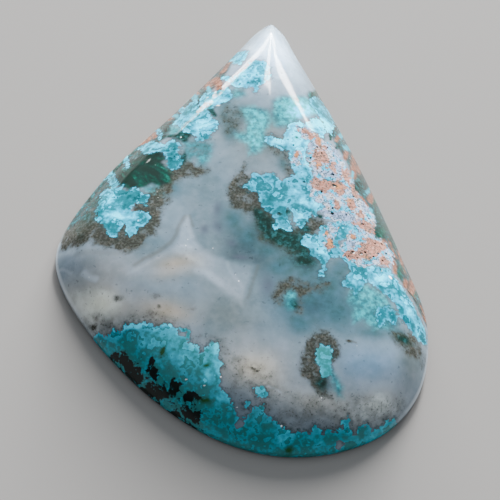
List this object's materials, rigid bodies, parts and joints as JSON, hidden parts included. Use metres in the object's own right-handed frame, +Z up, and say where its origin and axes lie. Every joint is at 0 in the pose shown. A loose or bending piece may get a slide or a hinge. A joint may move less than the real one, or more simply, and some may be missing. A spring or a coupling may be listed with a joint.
{
  "type": "chrysocolla cabochon",
  "caption": "Polished freeform drop-shaped cabochon of chrysocolla in chalcedony, with a domed top, thin girdle and flat back.",
  "frame": {"origin": "in the plane of the flat back, under the middle of the bounding box", "axes": "+Y towards the point of the drop, +Z up out of the domed top, +X to the right seen from above"},
  "size_m": [0.0308, 0.0416, 0.005],
  "materials": {
    "polished_stone": "polished; milky blue-grey chalcedony with turquoise chrysocolla, green malachite and copper-pink matrix"
  },
  "bodies": {
    "root": {"cabochon": "polished_stone"}
  },
  "joints": []
}
